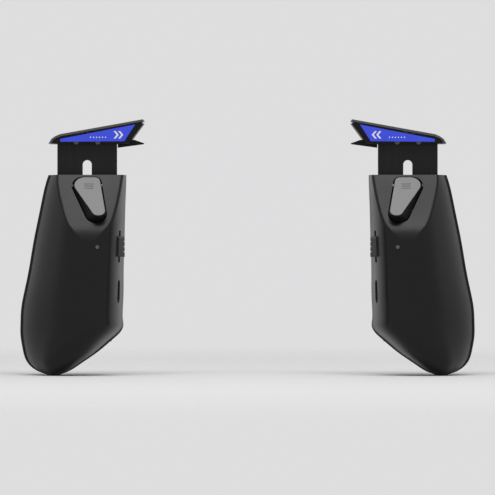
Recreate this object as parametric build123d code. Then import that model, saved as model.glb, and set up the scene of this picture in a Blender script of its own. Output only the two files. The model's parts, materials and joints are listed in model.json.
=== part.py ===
from build123d import *
import math
import os

os.makedirs("parts", exist_ok=True)

# A pair of mirror-image hand grips that clamp on the two ends of a phone held on its side.
# Lengths are in millimetres and angles in degrees. +Z is up along the handles, +X runs along
# the phone, and the backs of the grips, with their triggers, face towards -Y.
# One grip is drawn in its own frame: x is zero at the phone's end and grows towards the
# middle of the phone, y is zero at the phone's back, z is zero at the foot of the handle.

# Sizes of the phone that the grips are set to
phone_length = 158.2
phone_width = 78.0
phone_depth = 8.0
travel_up = 9.0
travel_down = 11.0

# Driving sizes of the handle
head_rest_gap = 2.3
grip_overhang = 15.9
grip_inset = 28.4
grip_back_depth = 25.5
ledge_height = 18.9

# Walls and clearances
shell_wall = 1.8
bed_wall = 1.6
rim_step = 0.8
rim_chamfer = 0.35
running_gap = 0.25
seat_gap = 0.3
cut_overrun = 6.0

# Rubber pads
pad_thickness = 0.8
pad_margin = 2.4
pad_corner = 2.0

# Slope of the scoop behind the trigger
scoop_angle = 31.0
scoop_top_depth = 9.5
scoop_blend_radius = 24.0
scoop_edge_radius = 1.6
scoop_fade = 0.3

# Clamp plate and its slot
plate_side_room = 3.5
plate_thickness = 2.2
plate_offset_x = 0.3
plate_tail = 24.7
slot_width = 3.8
slot_head_room = 7.1
slot_margin = 0.2
tongue_step = 4.45
tongue_rise = 1.8

# Slide guide behind the plate
guide_thickness = 1.5
guide_foot_rise = 3.1
guide_rail_foot_rise = 17.0
guide_rail_top_drop = 12.1
guide_inner_rail_height = 7.5
guide_low_step = 0.8
guide_top_drop = 3.0
guide_tail_step = 6.45
outer_rail = 1.4
inner_rail = 0.5
guide_pad_height = 12.0
guide_pad_width = 6.2

# Stop post, a shoulder screw that runs in the plate's slot
post_radius = 1.7
post_head_radius = 2.6
post_head_height = 0.9
post_thread_radius = 1.0

# Tension springs that pull the clamp closed
spring_radius = 2.0
spring_bore_radius = 1.5
spring_step = 5.45
spring_anchor_rise = 5.0
spring_window_side = 0.5
spring_window_room = 1.0

# Main board, battery and what is soldered to the board
board_thickness = 1.2
board_top_drop = 14.6
board_left_x = 0.6
board_side_room = 4.8
board_standoff = 2.4
standoff_radius = 1.6
standoff_inset = 2.4
battery_width_share = 0.678
battery_height_share = 0.5106
battery_thickness = 6.0
battery_foot_rise = 1.2
battery_corner = 1.5
socket_width = 9.0
socket_height = 3.2
socket_length = 7.3
socket_wall = 0.35
socket_place_share = 0.2766
socket_margin = 0.35
socket_tongue = 0.7
socket_tongue_width = 6.6
socket_tongue_inset = 1.0

# Mode switch on the inner side
mode_place_share = 0.6745
mode_depth = 12.3
mode_travel = 2.0
mode_body_height = 11.0
mode_body_depth = 4.0
mode_body_width = 3.6
knob_length = 8.6
knob_width = 2.4
knob_proud = 0.45
knob_flange = 0.8
knob_flange_margin = 0.6
knob_gap = 0.3
knob_corner = 1.0
knob_groove = 0.5
knob_groove_count = 3

# Indicator light pipe
indicator_across_share = 0.5986
indicator_place_share = 0.6702
indicator_radius = 0.75
indicator_flange_radius = 1.2
indicator_flange = 0.8
indicator_recess = 0.15

# Back trigger, a paddle hinged at its upper end
pivot_drop = 3.3
pivot_depth = 2.6
trigger_left_share = 0.1514
trigger_width_share = 0.588
trigger_length = 21.5
trigger_head_length = 2.5
trigger_gap = 0.45
trigger_rise_top = 0.8
trigger_rise_foot = 4.3
trigger_skin = 1.0
trigger_press_angle = 6.0
trigger_edge = 0.35
trigger_barrel_radius = 1.9
trigger_barrel_length = 2.4
barrel_inset_left = 3.7
barrel_inset_right = 3.7
trigger_base_radii = (4.2, 2.5, 3.6, 3.6)
trigger_face_radii = (4.4, 2.5, 2.6, 2.6)
pin_radius = 0.8
pin_running_gap = 0.05
pin_boss_width = 3.0
pin_boss_reach = 2.2
pin_end_wall = 0.6
torsion_radius = 1.45
torsion_bore_radius = 0.95
torsion_side_gap = 0.4
torsion_leg_radius = 0.2
torsion_leg_length = 5.0
tongue_depth = 2.1
stop_tongue = 1.0
stop_tongue_reach = 1.2
stop_tongue_width = 4.0
stop_root = 1.8
stop_inset = 3.4

# Push switch under the back trigger
push_switch_across_share = 0.7605
push_switch_drop = 15.7
push_switch_side = 6.0
push_switch_height = 3.4
push_stem_radius = 1.1
push_stem_height = 0.6
push_rib_side = 2.6
push_free_gap = 0.25

# Shell screws and their bosses
boss_radius = 3.0
boss_tip_radius = 2.1
shell_screw_radius = 1.0
shell_screw_clear = 1.15
shell_screw_head_radius = 1.9
shell_screw_head_height = 1.4
shell_screw_seat_depth = 1.5
shell_screw_length = 10.0
screw_drive_radius = 0.8
screw_drive_depth = 0.6
screw_drive_share = 0.8
screw_drive_depth_share = 0.7
counterbore_radius = 2.1

# Guide screws
guide_screw_radius = 0.7
guide_screw_head_radius = 1.3
guide_screw_head_height = 0.8
guide_screw_length = 5.2

# Ledge at the foot of the phone and the lip that hooks over the phone's face
lip_thickness = 2.0
lip_reach = 2.5
lip_gap = 0.3
lip_foot_drop = 5.0
lip_slope_drop = 2.6
lip_side_room = 8.4
lip_left_x = 2.0
lip_corner = 0.8

# Clamp head
head_overhang = 15.3
head_rise = 10.1
head_tip_x = 3.9
head_skirt = 0.2
head_back_depth = 7.2
head_wall = 1.4
head_slant_wall = 1.82
head_floor = 1.2
cap_thickness = 0.9
cap_end_share = 0.6
cap_gap = 0.35
cap_tip_gap = 0.2
cap_press_angle = 0.75
cap_rim_start_x = 14.0
cap_rim_drop = 1.5
cap_rim_thickness = 1.0
cap_rim_gap = 0.35
lip_plate_thickness = 1.8
arm_length = 9.0
arm_width = 7.5
arm_side_room = 10.8
arm_first_x = 6.4
arm_web = 3.2
touch_pad_radius = 2.9
touch_pad_thickness = 0.3
badge_depth = 0.8
badge_proud = 0.1
badge_gap = 0.05
head_bevel = 0.45
jaw_rib_thickness = 1.9
jaw_rib_height = 1.7
jaw_rib_length = 11.0

# Shoulder trigger hinge and switch
shoulder_pin_x = 0.6
shoulder_pin_rise = 0.95
shoulder_pin_radius = 0.5
shoulder_lug_radius = 0.95
shoulder_lug_width = 3.0
head_board_reach_left = 11.0
head_board_reach_right = 3.6
head_board_thickness = 0.8
head_board_front_gap = 0.9
head_board_depth = 6.4
shoulder_switch_inset = 10.7
shoulder_switch_side = 4.0
shoulder_switch_height = 2.4
shoulder_stem_radius = 0.8
shoulder_stem_height = 0.3
shoulder_free_gap = 0.15
cap_rib_side = 2.6
cap_rib_width = 3.4

# Head screws
head_screw_radius = 0.6
head_screw_head_radius = 1.1
head_screw_head_height = 0.6
head_screw_length = 5.0
head_boss_radius = 1.25
plate_screw_spacing = 9.0
plate_screw_rise = 0.5

# Depths of the layers, counted from the phone's back
bed_front_y = -pad_thickness
parting_y = bed_front_y - bed_wall
plate_front_y = parting_y - running_gap
plate_back_y = plate_front_y - plate_thickness
guide_front_y = plate_back_y - running_gap
guide_back_y = guide_front_y - guide_thickness
board_front_y = guide_back_y - board_standoff
board_back_y = board_front_y - board_thickness
lip_inner_y = phone_depth + lip_gap
lip_outer_y = lip_inner_y + lip_thickness

# The whole part is centred on its depth, so the origin lies under the middle of its box
frame_shift_y = (grip_back_depth - lip_outer_y) / 2

# Heights that follow from the phone and the clamp's travel
jaw_z = ledge_height + phone_width
grip_height = jaw_z - travel_down - head_rest_gap
slot_top_z = jaw_z - slot_head_room
post_z = slot_top_z - slot_width / 2 - travel_down - slot_margin
slot_foot_z = post_z - travel_up - slot_margin - slot_width / 2
plate_foot_z = post_z - plate_tail
guide_foot_z = ledge_height + guide_foot_rise
guide_rail_foot_z = guide_foot_z + guide_rail_foot_rise
guide_rail_top_z = grip_height - guide_rail_top_drop
guide_inner_rail_foot_z = guide_rail_top_z - guide_inner_rail_height
guide_top_z = grip_height - guide_top_drop
spring_anchor_z = guide_foot_z + spring_anchor_rise
spring_window_top_z = plate_foot_z + travel_up + spring_window_room
board_foot_z = guide_foot_z
board_top_z = grip_height - board_top_drop
board_height = board_top_z - board_foot_z
battery_foot_z = board_foot_z + battery_foot_rise
battery_height = battery_height_share * board_height
socket_z = board_foot_z + socket_place_share * board_height
mode_z = board_foot_z + mode_place_share * board_height
indicator_z = board_foot_z + indicator_place_share * board_height
pivot_z = grip_height - pivot_drop
push_switch_z = pivot_z - push_switch_drop

# Widths that follow from the handle's reach over the phone
plate_width = grip_inset - plate_side_room
plate_left_x = -plate_offset_x
plate_right_x = plate_left_x + plate_width
plate_middle_x = plate_left_x + plate_width / 2
tongue_width = plate_width - 2 * tongue_step
guide_tail_width = plate_width - 2 * guide_tail_step
spring_spacing = plate_width - 2 * spring_step
board_right_x = grip_inset - board_side_room
battery_left_x = board_left_x
battery_width = battery_width_share * (board_right_x - board_left_x)
indicator_x = indicator_across_share * grip_inset
trigger_left_x = trigger_left_share * grip_inset
trigger_width = trigger_width_share * grip_inset
push_switch_x = trigger_left_x + push_switch_across_share * trigger_width
lip_width = grip_inset - lip_side_room
head_length = plate_width + head_overhang
arm_spacing = plate_width - arm_side_room
shoulder_switch_x = head_length - head_tip_x - shoulder_switch_inset
head_board_left_x = shoulder_switch_x - head_board_reach_left
head_board_right_x = shoulder_switch_x + head_board_reach_right

# Silhouette of the handle at level shares of its height: how far it stands out past the
# phone's end, how far it reaches in, and how deep it is behind and in front of the phone.
# The last level lies above the top, where the form is cut level.
level_shares = (0, 0.012, 0.036, 0.072, 0.123, 0.179, 0.227, 0.275, 0.36, 0.48, 0.61, 0.742, 0.873, 1, 1.12)
outer_shares = (
    0.27, 0.453, 0.68, 0.843, 0.931, 0.984, 1, 0.994, 0.956, 0.824, 0.704, 0.575, 0.434, 0.258, 0.07
)
inner_shares = (
    0.018, 0.109, 0.243, 0.398, 0.609, 0.803, 0.937, 0.951, 0.954, 0.961, 0.968, 0.979, 0.989, 1, 1.01
)
back_shares = (
    0.51, 0.612, 0.718, 0.808, 0.886, 0.937, 0.965, 0.98, 0.996, 1, 0.992, 0.965, 0.925, 0.875, 0.822
)
front_shares = (0.06, 0.375, 0.65, 0.85, 0.96, 1, 1, 1, 1, 1, 1, 1, 1, 1, 1)
inner_step_shares = (1, 1, 1, 1, 1, 1, 0.5, 0, 0, 0, 0, 0, 0, 0, 0)
cover_corner_share = 0.108
cavity_corner_share = 0.06

# Cross-section of the back, from the outer edge over the crest to the inner side, as
# shares of its width and of its depth
arch_shares = (
    (0, 0),
    (0.04, 0.17),
    (0.104, 0.37),
    (0.246, 0.69),
    (0.35, 0.865),
    (0.6, 1),
    (0.85, 0.86),
    (0.925, 0.62),
    (0.97, 0.3),
    (1, 0),
)

crest_row = 5

# Places of the shell bosses, as shares of the overhang or inset and of the handle's height
boss_shares = ((-0.27, 0.715), (-0.47, 0.36), (0.43, 0.13), (-0.3, 0.118))

# Corners of the trigger's base and of its face, as shares of its width and length
trigger_base_shares = ((0, 1), (0.8, 1), (1, 0), (0.54, 0))
trigger_face_shares = ((-0.018, 0.986), (0.796, 0.986), (0.985, 0.012), (0.69, 0.012))

# Outline of the clamp head, as shares of its length and rise
head_shares = (
    (0, 0),
    (0.032, 0.198),
    (0.072, 0.307),
    (0.119, 0.386),
    (0.978, 1),
    (1, 0.911),
    (0.838, 0.03),
    (0.833, 0),
)
skin_shares = ((1, 0), (1, -0.333), (1, -0.667), (0.5, -1))
lip_screw_shares = ((0.3856, 0.3317), (0.8682, 0.4752))
badge_shares = ((0.122, 0.07), (0.122, 0.188), (0.9, 0.785), (0.786, 0.09))


def share_at(share, given, wanted):
    """The wanted table's value at a share of the given table, on straight lines between."""
    for i in range(len(given) - 1):
        if given[i] <= share <= given[i + 1]:
            part = (share - given[i]) / (given[i + 1] - given[i])
            return wanted[i] + part * (wanted[i + 1] - wanted[i])
    return wanted[-1]


def block(x0, x1, y0, y1, z0, z1):
    """A box between three pairs of limits."""
    corner = (Align.MIN, Align.MIN, Align.MIN)
    return Pos(x0, y0, z0) * Box(x1 - x0, y1 - y0, z1 - z0, align=corner)


def rounded_face(points, radii):
    """A flat face through points whose corners have the given radii."""
    return make_face(FilletPolyline(*points, radius=list(radii), close=True))


def plate_between(points, radii, y0, y1):
    """A flat piece whose outline is drawn in x and z, from y0 to y1."""
    face = Pos(0, y1, 0) * (Plane.XZ * rounded_face(points, radii))
    return extrude(face, amount=y1 - y0)


def rod_y(x, z, radius, y0, y1):
    """A round rod along y."""
    face = Pos(x, y1, z) * (Plane.XZ * Circle(radius))
    return extrude(face, amount=y1 - y0)


def rod_x(y, z, radius, x0, x1):
    """A round rod along x."""
    face = Pos(x0, y, z) * (Plane.YZ * Circle(radius))
    return extrude(face, amount=x1 - x0)


def rod_z(x, y, radius, z0, z1):
    """A round rod along z."""
    return extrude(Pos(x, y, z0) * Circle(radius), amount=z1 - z0)


def capsule_face(width, height):
    """An upright slot with round ends."""
    return SlotOverall(height, width, rotation=90)


def loft_levels(section, inset):
    """A closed form through one section at each level of the handle."""
    rise = (grip_height - 2 * inset) / grip_height
    faces = []
    for i, level in enumerate(level_shares):
        z = inset + level * grip_height * rise
        faces.append(Pos(0, 0, z) * section(i, inset))
    side = grip_overhang + grip_inset
    below_top = block(-side, side, -side, side, -side, grip_height - inset)
    return loft(faces) & below_top


def back_section(i, inset):
    """The domed section of the back shell at level i."""
    x0 = -outer_shares[i] * grip_overhang + rim_step + inset
    x1 = inner_shares[i] * grip_inset - inner_step_shares[i] * rim_step - inset
    y0 = parting_y
    y1 = -back_shares[i] * grip_back_depth + inset
    points = []
    for across, deep in arch_shares:
        points.append((x0 + across * (x1 - x0), y0 + deep * (y1 - y0)))
    arch = Spline(*points)
    return make_face(Curve() + [arch, Line(points[-1], points[0])])


def cover_section(i, inset):
    """The section of the front cover at level i, with rounded front corners."""
    x0 = -outer_shares[i] * grip_overhang + inset
    x1 = inner_shares[i] * grip_inset - inset
    y1 = front_shares[i] * phone_depth - inset
    share = cavity_corner_share if inset else cover_corner_share
    corner = share * (x1 - x0)
    rim = rim_chamfer
    rim_y = parting_y + rim
    points = [(x0 + rim, parting_y), (x0, rim_y), (x0, y1), (x1, y1), (x1, rim_y), (x1 - rim, parting_y)]
    return rounded_face(points, (0, 0, corner, corner, 0, 0))


def side_x(z, depth):
    """Where the inner side of the back shell lies at a height and a depth."""
    level = z / grip_height
    edge = share_at(level, level_shares, inner_shares) * grip_inset
    outer = -share_at(level, level_shares, outer_shares) * grip_overhang + rim_step
    crest = share_at(level, level_shares, back_shares) * grip_back_depth + parting_y
    deep = (depth + parting_y) / crest
    inner_half = arch_shares[crest_row:]
    depths = [row[1] for row in reversed(inner_half)]
    acrosses = [row[0] for row in reversed(inner_half)]
    return outer + share_at(deep, depths, acrosses) * (edge - outer)


# The scoop's slope: its plane carries the trigger
slope_sine = math.sin(math.radians(scoop_angle))
slope_cosine = math.cos(math.radians(scoop_angle))
pivot_floor_y = -scoop_top_depth - (grip_height - pivot_z) * slope_sine / slope_cosine
slope_plane = Plane(
    origin=(0, pivot_floor_y, pivot_z),
    x_dir=(1, 0, 0),
    z_dir=(0, -slope_cosine, slope_sine),
)
pin_y = pivot_floor_y + pivot_depth * slope_cosine
pin_z = pivot_z - pivot_depth * slope_sine


def slope_block(x0, x1, v0, v1, n0, n1):
    """A box laid on the slope: v runs up the slope and n out of it."""
    return slope_plane * block(x0, x1, v0, v1, n0, n1)


def scoop_tool(shift):
    """The space cut from the back for the trigger's slope, moved inwards by shift."""
    end_y = -grip_back_depth - scoop_fade
    arc_drop_y = scoop_blend_radius * (1 - slope_cosine)
    run = (-scoop_top_depth - end_y - arc_drop_y) / slope_sine
    top = Vector(-scoop_top_depth, grip_height)
    down = Vector(-slope_sine, -slope_cosine)
    inward = Vector(slope_cosine, -slope_sine) * shift
    start = top - down * cut_overrun + inward
    bend = top + down * run + inward
    centre = bend + Vector(slope_cosine, -slope_sine) * scoop_blend_radius
    half = math.radians(scoop_angle / 2)
    middle = centre - Vector(math.cos(half), -math.sin(half)) * scoop_blend_radius
    foot = centre - Vector(scoop_blend_radius, 0)
    far_y = end_y - cut_overrun
    edges = [
        Line(start, bend),
        ThreePointArc(bend, middle, foot),
        Line(foot, (far_y, foot.Y)),
        Line((far_y, foot.Y), (far_y, start.Y)),
        Line((far_y, start.Y), start),
    ]
    face = Plane.YZ * make_face(Curve() + edges)
    return extrude(face, amount=grip_inset + grip_overhang, both=True)


def trigger_corners(shares):
    """Corner points on the slope from shares of the trigger's width and length."""
    foot_v = trigger_head_length - trigger_length
    points = []
    for across, up in shares:
        points.append((trigger_left_x + across * trigger_width, foot_v + up * trigger_length))
    return points


def boss_places():
    """Centres of the shell bosses in x and z."""
    places = []
    for across, up in boss_shares:
        reach = grip_overhang if across < 0 else grip_inset
        places.append((across * reach, up * grip_height))
    return places


def pocket(growth):
    """The space for the phone, grown by a wall."""
    far = grip_inset + cut_overrun
    y0 = bed_front_y - growth
    z0 = ledge_height - pad_thickness - growth
    return block(-growth, far, y0, lip_outer_y + far, z0, grip_height + cut_overrun)


def scoop_rim(body):
    """The curved edges where the scoop breaks through the back."""
    front_limit = (parting_y - scoop_top_depth) / 2
    curved = body.edges().filter_by(GeomType.BSPLINE)
    return [edge for edge in curved if edge.bounding_box().max.Y < front_limit]


# Forms that several pieces share
back_outer = loft_levels(back_section, 0) - scoop_tool(0)
back_outer = fillet(scoop_rim(back_outer), scoop_edge_radius)
back_inner = loft_levels(back_section, shell_wall) - scoop_tool(shell_wall)
cover_outer = loft_levels(cover_section, 0)
cover_inner = loft_levels(cover_section, shell_wall)


def shell_screw_tip_y():
    """How deep the shell screws reach."""
    return shell_screw_seat_depth - shell_screw_length


def make_back_shell():
    """The domed back with its scoop, bosses and openings."""
    shell = back_outer - back_inner
    tip_y = shell_screw_tip_y()
    for x, z in boss_places():
        boss = rod_y(x, z, boss_tip_radius, -grip_back_depth, parting_y)
        shell += boss & back_outer
    reach = pin_boss_reach
    y0 = pivot_floor_y - reach
    y1 = pin_y + reach - running_gap
    for x0, x1 in pin_boss_spans():
        boss = block(x0, x1, y0, y1, pin_z - reach, pin_z + reach)
        shell += boss & back_outer
    for x, z in boss_places():
        shell -= rod_y(x, z, shell_screw_radius, tip_y, parting_y + cut_overrun)
    pin_start, pin_end = pin_ends()
    shell -= rod_x(pin_y, pin_z, pin_radius, pin_start, pin_end)
    shell -= trigger_opening()
    shell -= plate_passage()
    shell -= knob_opening()
    shell -= socket_opening()
    outside_y = -grip_back_depth - cut_overrun
    return shell - rod_y(indicator_x, indicator_z, indicator_radius, outside_y, board_back_y)


def pin_boss_spans():
    """The two stretches of x where the shell holds the trigger's pin."""
    base = trigger_corners(trigger_base_shares)
    left_edge = base[0][0] - trigger_gap / 2
    right_edge = base[1][0] + trigger_gap + 2 * running_gap
    return (left_edge - pin_boss_width, left_edge), (right_edge, right_edge + pin_boss_width)


def pin_ends():
    """Both ends of the trigger's pin."""
    (x0, _), (_, x1) = pin_boss_spans()
    return x0 + pin_end_wall, x1 - pin_end_wall


def trigger_opening():
    """The hole in the scoop's floor that the trigger stands in."""
    face = rounded_face(trigger_corners(trigger_base_shares), trigger_base_radii)
    grown = offset(face, amount=trigger_gap)
    sunk = slope_plane * (Pos(0, 0, -shell_wall - pivot_depth) * grown)
    return extrude(sunk, amount=shell_wall + pivot_depth + cut_overrun)


def plate_passage():
    """The slot in the top wall that the clamp plate slides through."""
    x0 = plate_left_x - running_gap
    x1 = plate_right_x + running_gap
    y0 = plate_back_y - running_gap
    z0 = grip_height - shell_wall - running_gap
    return block(x0, x1, y0, parting_y + cut_overrun, z0, grip_height + cut_overrun)


def knob_opening():
    """The slot in the inner wall for the mode knob."""
    reach = knob_length / 2 + mode_travel + knob_gap
    half = knob_width / 2 + knob_gap
    x0 = plate_middle_x
    z0 = mode_z - reach
    z1 = mode_z + reach
    return block(x0, grip_inset + cut_overrun, -mode_depth - half, -mode_depth + half, z0, z1)


def socket_opening():
    """The rounded hole in the inner wall for the charging plug."""
    width = socket_width + 2 * socket_margin
    height = socket_height + 2 * socket_margin
    y = board_back_y - socket_height / 2
    face = Pos(plate_middle_x, y, socket_z) * (Plane.YZ * capsule_face(height, width))
    return extrude(face, amount=grip_inset)


def make_front_cover():
    """The front half of the handle: the phone's bed, its end wall and the ledge."""
    cover = cover_outer - pocket(0)
    cavity = cover_inner - pocket(shell_wall)
    cover -= cavity
    for x, z in boss_places():
        boss = rod_y(x, z, boss_radius, parting_y, phone_depth)
        cover += (boss & cover_outer) - pocket(0)
    cover += make_ledge_lip()
    for x, z in boss_places():
        cover -= rod_y(x, z, shell_screw_clear, parting_y - cut_overrun, phone_depth)
        cover -= rod_y(x, z, counterbore_radius, shell_screw_seat_depth, phone_depth + cut_overrun)
    cover -= rod_y(plate_middle_x, post_z, post_radius, parting_y - cut_overrun, bed_front_y)
    head_seat = bed_front_y - post_head_height
    cover -= rod_y(plate_middle_x, post_z, post_head_radius, head_seat, bed_front_y + cut_overrun)
    for x, z in guide_screw_places():
        cover -= rod_y(x, z, guide_screw_radius, parting_y - cut_overrun, bed_front_y + cut_overrun)
    return cover


def make_ledge_lip():
    """The hook in front of the phone's lower edge."""
    top = ledge_height + lip_reach
    foot = ledge_height - lip_foot_drop
    corner = lip_corner
    points = [
        (phone_depth - shell_wall, foot),
        (phone_depth, foot),
        (lip_outer_y, foot + lip_slope_drop),
        (lip_outer_y, top),
        (lip_inner_y, top),
        (lip_inner_y, ledge_height - pad_thickness),
        (phone_depth - shell_wall, ledge_height - pad_thickness),
    ]
    radii = (0, 0, corner, corner, lip_gap, 0, 0)
    face = Pos(lip_left_x, 0, 0) * (Plane.YZ * rounded_face(points, radii))
    return extrude(face, amount=lip_width)


def make_bed_pad():
    """The rubber pad that the phone's back lies on."""
    x0 = pad_margin
    x1 = grip_inset - pad_margin
    z0 = ledge_height + pad_margin
    z1 = grip_height - pad_margin
    points = [(x0, z0), (x1, z0), (x1, z1), (x0, z1)]
    return plate_between(points, [pad_corner] * len(points), bed_front_y, 0)


def make_ledge_pad():
    """The rubber strip under the phone's lower edge."""
    x0 = lip_left_x
    x1 = lip_left_x + lip_width
    z0 = ledge_height - pad_thickness
    return block(x0, x1, 0, lip_inner_y - lip_gap, z0, ledge_height)


def guide_screw_places():
    """Centres of the screws that hold the slide guide to the cover."""
    x0, _ = guide_span()
    x1 = guide_low_right_x()
    inset = guide_pad_width / 2
    z0 = guide_foot_z + guide_screw_head_radius * 2
    z1 = guide_foot_z + guide_pad_height - guide_screw_head_radius
    return (x0 + inset, z0), (x1 - inset, z0), (x0 + inset, z1)


def guide_span():
    """The slide guide's two long edges in x."""
    x0 = plate_left_x - running_gap - outer_rail
    x1 = plate_right_x + running_gap + inner_rail
    return x0, x1


def guide_low_right_x():
    """The slide guide's right edge below its short inner rail."""
    return plate_right_x - guide_low_step


def spring_places():
    """The two springs' centres in x."""
    return plate_middle_x - spring_spacing / 2, plate_middle_x + spring_spacing / 2


def spring_middle_y():
    """The springs lie in the plane of the clamp plate's back."""
    return parting_y - running_gap - spring_radius


def make_slide_guide():
    """The moulded guide that the clamp plate slides in."""
    x0, x1 = guide_span()
    low_x1 = guide_low_right_x()
    guide = block(x0, low_x1, guide_back_y, guide_front_y, guide_foot_z, guide_rail_top_z)
    guide += block(low_x1, x1, guide_back_y, guide_front_y, guide_inner_rail_foot_z, guide_rail_top_z)
    tail_x0 = plate_middle_x - guide_tail_width / 2
    tail_x1 = plate_middle_x + guide_tail_width / 2
    guide += block(tail_x0, tail_x1, guide_back_y, guide_front_y, guide_rail_top_z, guide_top_z)
    guide += block(x0, x0 + outer_rail, guide_back_y, parting_y, guide_rail_foot_z, guide_rail_top_z)
    guide += block(x1 - inner_rail, x1, guide_back_y, parting_y, guide_inner_rail_foot_z, guide_rail_top_z)
    pad_top = guide_foot_z + guide_pad_height
    guide += block(x0, x0 + guide_pad_width, guide_back_y, parting_y, guide_foot_z, pad_top)
    guide += block(low_x1 - guide_pad_width, low_x1, guide_back_y, parting_y, guide_foot_z, pad_top)
    half = spring_radius + spring_window_side
    y0 = guide_back_y - cut_overrun
    y1 = parting_y + cut_overrun
    for x in spring_places():
        guide -= block(x - half, x + half, y0, y1, spring_anchor_z, spring_window_top_z)
    for x, z in standoff_places():
        guide += rod_y(x, z, standoff_radius, board_front_y, guide_back_y)
    guide -= rod_y(plate_middle_x, post_z, post_thread_radius, y0, parting_y)
    for x, z in guide_screw_places():
        guide -= rod_y(x, z, guide_screw_radius, y0, y1)
    return guide


def standoff_places():
    """Where the main board rests on the slide guide."""
    x0 = board_left_x + standoff_inset
    x1 = board_right_x - standoff_inset
    z0 = guide_rail_foot_z + standoff_inset
    z1 = board_top_z - standoff_inset
    return (x0, z0), (x1, z0), (x0, z1), (x1, z1)


def make_stop_post():
    """The shoulder screw that stops the clamp plate at both ends of its slot."""
    head_y = bed_front_y - post_head_height
    post = rod_y(plate_middle_x, post_z, post_head_radius, head_y, bed_front_y)
    post += rod_y(plate_middle_x, post_z, post_radius, guide_front_y, head_y)
    post += rod_y(plate_middle_x, post_z, post_thread_radius, guide_back_y, guide_front_y)
    drive_y = bed_front_y - screw_drive_depth
    return post - rod_y(plate_middle_x, post_z, screw_drive_radius, drive_y, bed_front_y)


def make_clamp_springs():
    """The two tension springs below the clamp plate, drawn as sleeves."""
    y = spring_middle_y()
    top = plate_foot_z - seat_gap
    springs = []
    for x in spring_places():
        sleeve = rod_z(x, y, spring_radius, spring_anchor_z, top)
        springs.append(sleeve - rod_z(x, y, spring_bore_radius, spring_anchor_z, top))
    return springs


def make_main_board():
    """The circuit board in the handle."""
    return block(board_left_x, board_right_x, board_back_y, board_front_y, board_foot_z, board_top_z)


def make_battery():
    """The flat pouch cell taped to the board."""
    x1 = battery_left_x + battery_width
    z1 = battery_foot_z + battery_height
    points = [(battery_left_x, battery_foot_z), (x1, battery_foot_z), (x1, z1), (battery_left_x, z1)]
    radii = [battery_corner] * len(points)
    return plate_between(points, radii, board_back_y - battery_thickness, board_back_y)


def make_charging_socket():
    """The receptacle whose mouth opens in the inner side."""
    y = board_back_y - socket_height / 2
    x1 = side_x(socket_z, mode_depth) - shell_wall / 2
    x0 = x1 - socket_length
    outline = Pos(x0, y, socket_z) * (Plane.YZ * capsule_face(socket_height, socket_width))
    case = extrude(outline, amount=socket_length)
    bore_width = socket_width - 2 * socket_wall
    bore_height = socket_height - 2 * socket_wall
    bore = Pos(x0 + socket_wall, y, socket_z) * (Plane.YZ * capsule_face(bore_height, bore_width))
    case -= extrude(bore, amount=socket_length)
    thin = socket_tongue / 2
    wide = socket_tongue_width / 2
    tongue_end = x1 - socket_tongue_inset
    return case + block(x0, tongue_end, y - thin, y + thin, socket_z - wide, socket_z + wide)


def mode_inner_x():
    """Inner face of the side wall at the mode knob's flange, at its narrowest."""
    reach = knob_length / 2 + knob_flange_margin + mode_travel
    depth = mode_depth + knob_width / 2 + knob_flange_margin
    places = [side_x(mode_z + d, depth) for d in (-reach, 0, reach)]
    return min(places) - shell_wall - seat_gap


def make_mode_switch():
    """The slide switch's body on the board."""
    x1 = mode_inner_x() - knob_flange - running_gap
    y0 = board_back_y - mode_body_depth
    half = mode_body_height / 2
    return block(x1 - mode_body_width, x1, y0, board_back_y, mode_z - half, mode_z + half)


def make_mode_knob():
    """The knob that slides along the inner side, with its flange behind the wall."""
    x0 = mode_inner_x() - knob_flange
    edge = share_at(mode_z / grip_height, level_shares, inner_shares) * grip_inset
    tip = edge + knob_proud
    half_l = knob_length / 2
    half_w = knob_width / 2
    face = Plane.YZ * RectangleRounded(knob_width, knob_length, knob_corner)
    y = -mode_depth
    knob = extrude(Pos(x0, y, mode_z) * face, amount=tip - x0)
    wide = half_w + knob_flange_margin
    tall = half_l + knob_flange_margin
    knob += block(x0, x0 + knob_flange, y - wide, y + wide, mode_z - tall, mode_z + tall)
    pitch = knob_length / (knob_groove_count + 1)
    for i in range(knob_groove_count):
        z = mode_z - half_l + pitch * (i + 1)
        z0 = z - knob_groove / 2
        knob -= block(tip - knob_groove, tip, y - half_w, y + half_w, z0, z0 + knob_groove)
    return knob


def make_indicator_lens():
    """The light pipe from the board to the crest of the back."""
    level = indicator_z / grip_height
    crest = share_at(level, level_shares, back_shares) * grip_back_depth
    lens = rod_y(indicator_x, indicator_z, indicator_radius, -crest + indicator_recess, board_back_y)
    flange_y = board_back_y - indicator_flange
    return lens + rod_y(indicator_x, indicator_z, indicator_flange_radius, flange_y, board_back_y)


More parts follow.
